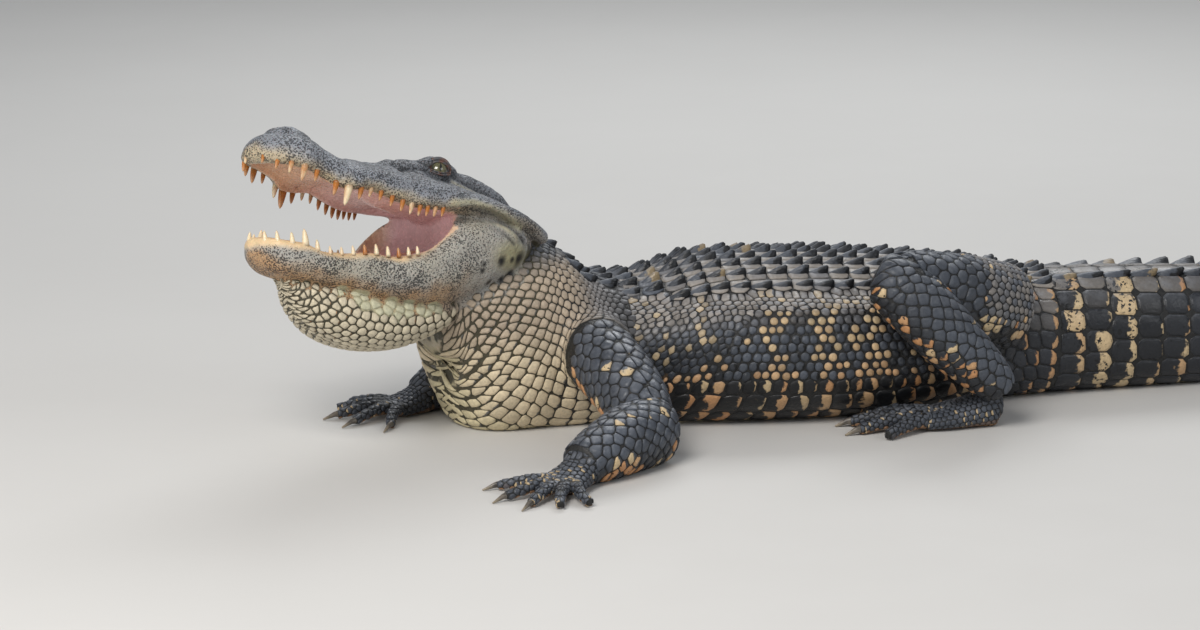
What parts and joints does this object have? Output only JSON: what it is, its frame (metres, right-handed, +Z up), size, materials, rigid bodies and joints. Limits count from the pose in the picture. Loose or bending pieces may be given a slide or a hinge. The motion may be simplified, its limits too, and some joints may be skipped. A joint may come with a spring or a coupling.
{
  "type": "american alligator",
  "caption": "Life-size still model of an American alligator lying on its belly, head raised and mouth open, for display on a level floor.",
  "frame": {"origin": "on the floor, under the middle of the belly, between the fore and hind legs", "axes": "+X towards the tail along the trunk, +Y to the animal's right, +Z up"},
  "size_m": [2.1147, 0.7315, 0.3614],
  "materials": {
    "hide": "scaly, satin",
    "head_hide": "fine-scaled, satin",
    "throat_hide": "scaly, satin",
    "mouth": "moist, smooth",
    "tooth": "glossy, stained",
    "eye": "wet gloss",
    "claw": "horn, semi-gloss"
  },
  "bodies": {
    "root": {"head": "head_hide", "eye_left": "eye", "eye_right": "eye", "jaw": "head_hide", "tongue": "mouth", "throat": "throat_hide", "neck": "throat_hide", "trunk": "hide", "tail_1": "hide", "tail_2": "hide", "tail_3": "hide", "tail_4": "hide", "tail_5": "hide", "left_foreleg_upper_arm": "hide", "left_foreleg_forearm": "hide", "left_foreleg_hand": "hide", "left_foreleg_claw_1": "claw", "left_foreleg_claw_2": "claw", "left_foreleg_claw_3": "claw", "right_foreleg_upper_arm": "hide", "right_foreleg_forearm": "hide", "right_foreleg_hand": "hide", "right_foreleg_claw_1": "claw", "right_foreleg_claw_2": "claw", "right_foreleg_claw_3": "claw", "left_hindleg_thigh": "hide", "left_hindleg_shank": "hide", "left_hindleg_foot": "hide", "left_hindleg_claw_1": "claw", "left_hindleg_claw_2": "claw", "left_hindleg_claw_3": "claw", "right_hindleg_thigh": "hide", "right_hindleg_shank": "hide", "right_hindleg_foot": "hide", "right_hindleg_claw_1": "claw", "right_hindleg_claw_2": "claw", "right_hindleg_claw_3": "claw"}
  },
  "joints": []
}
